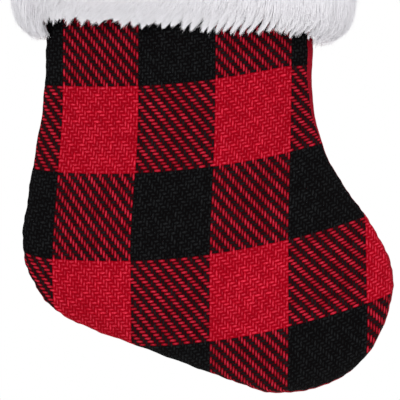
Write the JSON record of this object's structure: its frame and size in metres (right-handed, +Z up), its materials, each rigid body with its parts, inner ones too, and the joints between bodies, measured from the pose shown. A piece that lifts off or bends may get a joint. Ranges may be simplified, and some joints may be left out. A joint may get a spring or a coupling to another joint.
{
  "type": "hanging stocking",
  "caption": "Small Christmas stocking in woven buffalo check with a plain red back, a lining, a turned-over faux-fur cuff and a sewn tape loop to hang it by.",
  "frame": {"origin": "inside top of the hanging loop, where a hook or peg bears on the tape, midway across the stocking's depth", "axes": "+Z up along the leg, +X from the heel side to the toe, +Y from the checked front to the plain back"},
  "size_m": [0.1388, 0.055, 0.2224],
  "materials": {
    "check_cloth": "woven 2/2 twill in red and black yarn, a buffalo check",
    "red_felt": "plain brushed red felt",
    "lining_cloth": "plain ivory lining cloth",
    "faux_fur": "dense white plush pile about 12 mm deep",
    "twill_tape": "red woven tape",
    "thread_red": "dark red polyester sewing thread",
    "thread_white": "white polyester sewing thread"
  },
  "bodies": {
    "loop": {"hanging_loop": "twill_tape"},
    "stocking": {"loop_ends": "twill_tape", "loop_bartack": "thread_red", "front_panel": "check_cloth", "back_panel": "red_felt", "front_lining": "lining_cloth", "back_lining": "lining_cloth", "front_cuff": "faux_fur", "back_cuff": "faux_fur", "side_seam_thread": "thread_red", "lining_seam_thread": "thread_white", "cuff_seam_thread": "thread_white", "mouth_seam_thread": "thread_white"}
  },
  "joints": [
    {"name": "loop_hinge", "type": "hinge", "parent": "loop", "child": "stocking", "pos_m": [0, 0, -0.038], "axis": [1, 0, 0], "range_deg": [-70, 70]}
  ]
}
